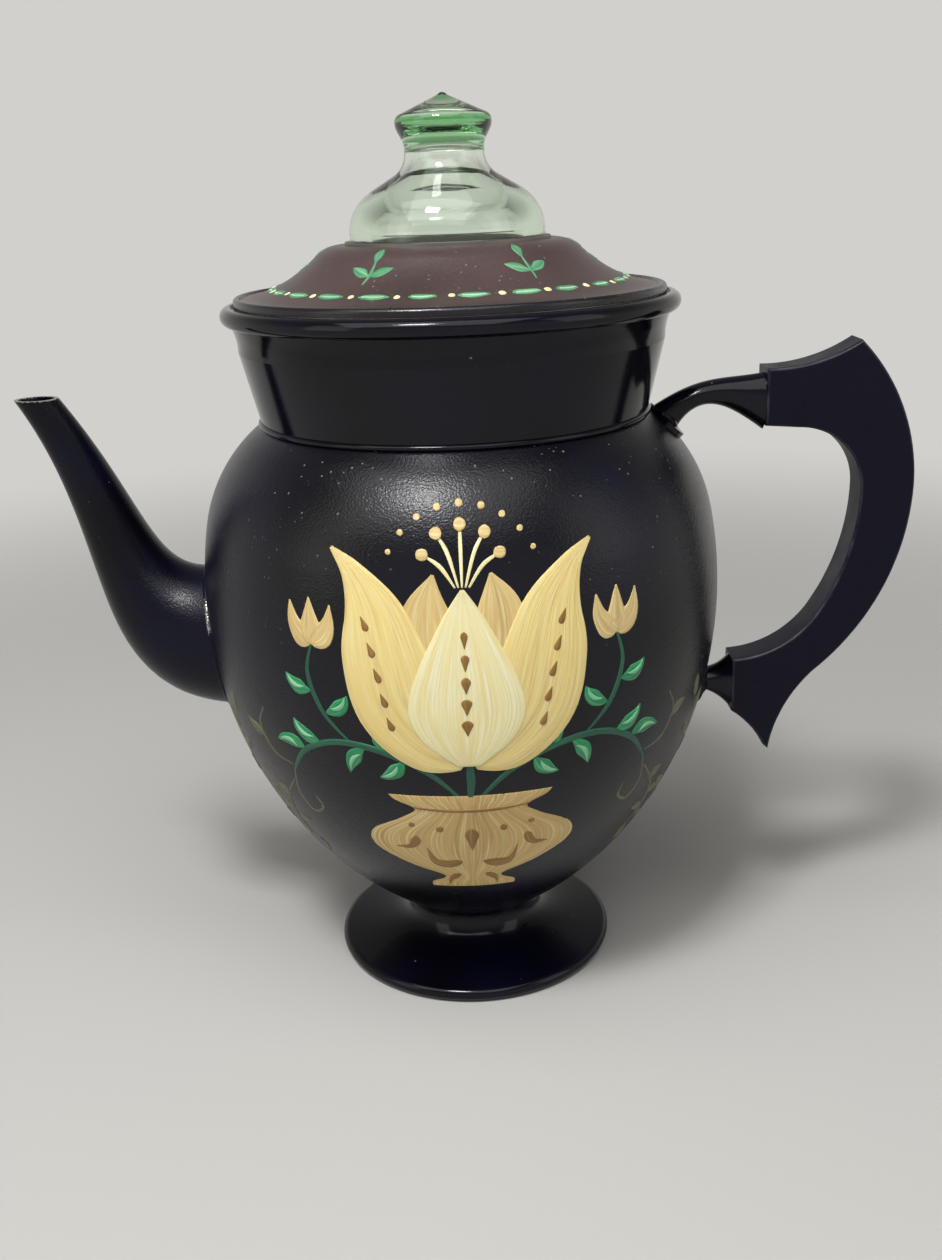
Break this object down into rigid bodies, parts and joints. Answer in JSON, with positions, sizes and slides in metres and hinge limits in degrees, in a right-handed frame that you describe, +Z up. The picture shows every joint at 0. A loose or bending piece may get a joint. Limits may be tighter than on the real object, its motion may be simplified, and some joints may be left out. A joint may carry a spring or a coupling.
{
  "type": "coffee percolator",
  "caption": "Round stove-top coffee percolator on a flared foot, with a curved pouring spout, flat shaped grip, lift-off lid with a glass top, and a pump and basket inside.",
  "frame": {"origin": "pot's axis, on the flat base that it stands on", "axes": "+Z up along the pot's axis, spout towards -X, handle towards +X"},
  "size_m": [0.2734, 0.16, 0.2702],
  "materials": {
    "black_enamel": "satin black paint over sheet metal",
    "lid_enamel": "matte black paint over sheet metal",
    "painted_wood": "satin black paint over wood",
    "green_glass": "pressed, pale green",
    "aluminium": "spun"
  },
  "bodies": {
    "pot": {"body_shell": "black_enamel", "neck_collar": "black_enamel", "foot": "black_enamel", "base_plate": "aluminium", "spout": "black_enamel", "upper_bracket": "black_enamel", "lower_bracket": "black_enamel", "upper_rivets": "black_enamel", "lower_rivets": "black_enamel", "handle_grip": "painted_wood", "upper_pin": "aluminium", "lower_pin": "aluminium"},
    "pump": {"pump_tube": "aluminium", "pump_bell": "aluminium", "valve_seat": "aluminium", "basket_stop": "aluminium"},
    "valve": {"valve_disc": "aluminium"},
    "basket": {"coffee_basket": "aluminium", "basket_sleeve": "aluminium"},
    "spreader": {"spreader": "aluminium"},
    "lid": {"lid_shell": "lid_enamel", "lid_skirt": "aluminium", "glass_collar": "aluminium"},
    "glass": {"glass_top": "green_glass"}
  },
  "joints": [
    {"name": "pump_lift", "type": "slide", "parent": "pot", "child": "pump", "axis": [0, 0, 1], "range_m": [0, 0.22]},
    {"name": "valve_lift", "type": "slide", "parent": "pump", "child": "valve", "axis": [0, 0, 1], "range_m": [0, 0.002]},
    {"name": "basket_lift", "type": "slide", "parent": "pump", "child": "basket", "axis": [0, 0, 1], "range_m": [0, 0.095]},
    {"name": "spreader_lift", "type": "slide", "parent": "basket", "child": "spreader", "axis": [0, 0, 1], "range_m": [0, 0.045]},
    {"name": "lid_lift", "type": "slide", "parent": "spreader", "child": "lid", "axis": [0, 0, 1], "range_m": [0, 0.08]},
    {"name": "glass_twist", "type": "hinge", "parent": "lid", "child": "glass", "pos_m": [0, 0, 0.2306], "axis": [0, 0, 1], "range_deg": [0, 90]}
  ]
}
